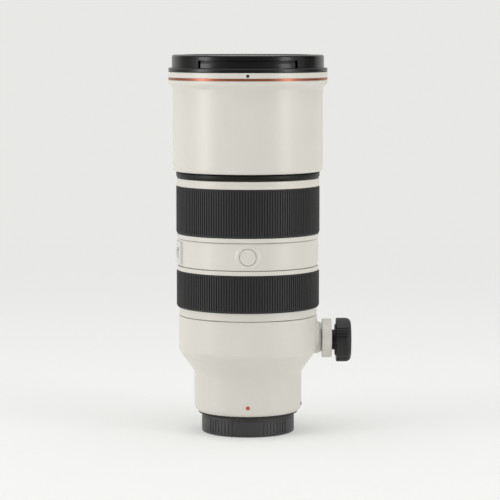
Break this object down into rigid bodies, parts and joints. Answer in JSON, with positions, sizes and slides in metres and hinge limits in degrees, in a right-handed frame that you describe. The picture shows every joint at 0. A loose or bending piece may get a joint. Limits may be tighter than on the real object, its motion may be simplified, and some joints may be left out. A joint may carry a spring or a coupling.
{
  "type": "camera zoom lens",
  "caption": "Large off-white zoom lens for a full-frame camera, with black ribbed rings, a red front ring, a turning tripod collar with lock knob and foot, and front and rear caps.",
  "frame": {"origin": "centre of the rear cap's flat base, on the optical axis", "axes": "+Z along the optical axis towards the front of the lens, -Y towards the lens's top side, +X towards the collar's lock knob"},
  "size_m": [0.1392, 0.1503, 0.2873],
  "materials": {
    "white_paint": "satin off-white enamel",
    "black_rubber": "matte, ribbed",
    "cap_plastic": "fine grained black",
    "rear_cap_plastic": "grained dark grey",
    "black_metal": "satin black anodised",
    "knob_plastic": "satin black",
    "switch_plastic": "satin pale grey",
    "panel_plastic": "satin grey-white",
    "red_paint": "gloss red",
    "mount_steel": "polished",
    "screw_steel": "blackened",
    "tube_metal": "bare turned",
    "cell_plastic": "matte black",
    "lens_glass": "coated",
    "brass": "turned",
    "board": "solder mask",
    "gasket_rubber": "matte"
  },
  "bodies": {
    "barrel": {"bayonet_mount": "mount_steel", "mount_screws": "screw_steel", "contact_block": "cell_plastic", "contact_pins": "brass", "mount_gasket": "gasket_rubber", "rear_barrel": "white_paint", "mount_index_dot": "red_paint", "barrel_screws": "screw_steel", "rear_cell": "cell_plastic", "rear_glass": "lens_glass", "circuit_board": "board", "main_tube": "tube_metal", "guide_tube": "tube_metal", "iris_housing": "cell_plastic", "iris_blades": "black_metal", "stabiliser_base": "tube_metal", "switch_housing": "white_paint", "switch_panel": "panel_plastic", "front_barrel": "white_paint", "focus_rods": "screw_steel", "focus_motors": "black_metal", "front_cell": "cell_plastic", "front_glass": "lens_glass", "red_ring": "red_paint", "hood_ring": "white_paint", "filter_ring": "black_metal"},
    "rear_cap": {"rear_cap": "rear_cap_plastic"},
    "tripod_collar": {"tripod_collar": "white_paint", "tripod_foot": "white_paint", "foot_screws": "screw_steel", "lock_housing": "white_paint"},
    "lock_knob": {"lock_knob": "knob_plastic"},
    "clamp_shoe": {"clamp_shoe": "brass"},
    "zoom_ring": {"zoom_ring": "white_paint", "zoom_grip": "black_rubber", "zoom_key": "screw_steel", "cam_barrel": "tube_metal"},
    "variator": {"variator_cell": "cell_plastic", "variator_glass": "lens_glass", "variator_rollers": "brass"},
    "compensator": {"compensator_cell": "cell_plastic", "compensator_glass": "lens_glass", "compensator_rollers": "brass"},
    "focus_ring": {"focus_ring": "white_paint", "focus_grip": "black_rubber"},
    "control_ring": {"control_ring": "black_metal"},
    "focus_group": {"focus_cell": "cell_plastic", "focus_glass": "lens_glass"},
    "shift_frame": {"stabiliser_frame": "tube_metal"},
    "shift_lens": {"stabiliser_cell": "cell_plastic", "stabiliser_glass": "lens_glass"},
    "focus_mode_switch": {"focus_mode_switch": "switch_plastic"},
    "focus_range_switch": {"focus_range_switch": "switch_plastic"},
    "stabiliser_switch": {"stabiliser_switch": "switch_plastic"},
    "function_button_top": {"function_button_top": "white_paint"},
    "function_button_side": {"function_button_side": "white_paint"},
    "front_cap": {"front_cap": "cap_plastic"},
    "front_cap_latch_top": {"front_cap_latch_top": "cap_plastic"},
    "front_cap_latch_bottom": {"front_cap_latch_bottom": "cap_plastic"}
  },
  "joints": [
    {"name": "rear_cap_turn", "type": "hinge", "parent": "barrel", "child": "rear_cap", "pos_m": [0, 0, 0], "axis": [0, 0, 1], "range_deg": [0, 60]},
    {"name": "collar_turn", "type": "hinge", "parent": "barrel", "child": "tripod_collar", "pos_m": [0, 0, 0.0738], "axis": [0, 0, 1], "continuous": true},
    {"name": "lock_turn", "type": "hinge", "parent": "tripod_collar", "child": "lock_knob", "pos_m": [0.07, 0, 0.06995], "axis": [1, 0, 0], "range_deg": [0, 360]},
    {"name": "shoe_slide", "type": "slide", "parent": "tripod_collar", "child": "clamp_shoe", "axis": [1, 0, 0], "range_m": [0, 0.001]},
    {"name": "zoom_turn", "type": "hinge", "parent": "barrel", "child": "zoom_ring", "pos_m": [0, 0, 0.109], "axis": [0, 0, 1], "range_deg": [0, 90]},
    {"name": "variator_slide", "type": "slide", "parent": "barrel", "child": "variator", "axis": [0, 0, 1], "range_m": [0, 0.024]},
    {"name": "compensator_slide", "type": "slide", "parent": "barrel", "child": "compensator", "axis": [0, 0, 1], "range_m": [-0.008, 0]},
    {"name": "focus_turn", "type": "hinge", "parent": "barrel", "child": "focus_ring", "pos_m": [0, 0, 0.17], "axis": [0, 0, 1], "continuous": true},
    {"name": "control_turn", "type": "hinge", "parent": "barrel", "child": "control_ring", "pos_m": [0, 0, 0.197], "axis": [0, 0, 1], "continuous": true},
    {"name": "focus_slide", "type": "slide", "parent": "barrel", "child": "focus_group", "axis": [0, 0, 1], "range_m": [-0.004, 0.004]},
    {"name": "shift_x", "type": "slide", "parent": "barrel", "child": "shift_frame", "axis": [1, 0, 0], "range_m": [-0.001, 0.001], "stiffness_N_per_m": 400},
    {"name": "shift_y", "type": "slide", "parent": "shift_frame", "child": "shift_lens", "axis": [0, 1, 0], "range_m": [-0.001, 0.001], "stiffness_N_per_m": 400},
    {"name": "focus_mode_switch_slide", "type": "slide", "parent": "barrel", "child": "focus_mode_switch", "axis": [0, 0, 1], "range_m": [0, 0.003]},
    {"name": "focus_range_switch_slide", "type": "slide", "parent": "barrel", "child": "focus_range_switch", "axis": [0, 0, 1], "range_m": [0, 0.003]},
    {"name": "stabiliser_switch_slide", "type": "slide", "parent": "barrel", "child": "stabiliser_switch", "axis": [0, 0, 1], "range_m": [0, 0.003]},
    {"name": "button_top_press", "type": "slide", "parent": "barrel", "child": "function_button_top", "axis": [0, 1, 0], "range_m": [0, 0.0008], "stiffness_N_per_m": 800, "springref_m": -0.0006},
    {"name": "button_side_press", "type": "slide", "parent": "barrel", "child": "function_button_side", "axis": [-1, 0, 0], "range_m": [0, 0.0008], "stiffness_N_per_m": 800, "springref_m": -0.0006},
    {"name": "front_cap_lift", "type": "slide", "parent": "barrel", "child": "front_cap", "axis": [0, 0, 1], "range_m": [0, 0.04]},
    {"name": "latch_top_pinch", "type": "slide", "parent": "front_cap", "child": "front_cap_latch_top", "axis": [0, 1, 0], "range_m": [0, 0.0025], "stiffness_N_per_m": 500, "springref_m": -0.003},
    {"name": "latch_bottom_pinch", "type": "slide", "parent": "front_cap", "child": "front_cap_latch_bottom", "axis": [0, -1, 0], "range_m": [0, 0.0025], "stiffness_N_per_m": 500, "springref_m": -0.003}
  ],
  "couplings": [
    {"joint": "shoe_slide", "follows": "lock_turn", "m_per_rad": 0.00015915},
    {"joint": "variator_slide", "follows": "zoom_turn", "m_per_rad": 0.015279},
    {"joint": "compensator_slide", "follows": "zoom_turn", "m_per_rad": -0.0050929}
  ]
}
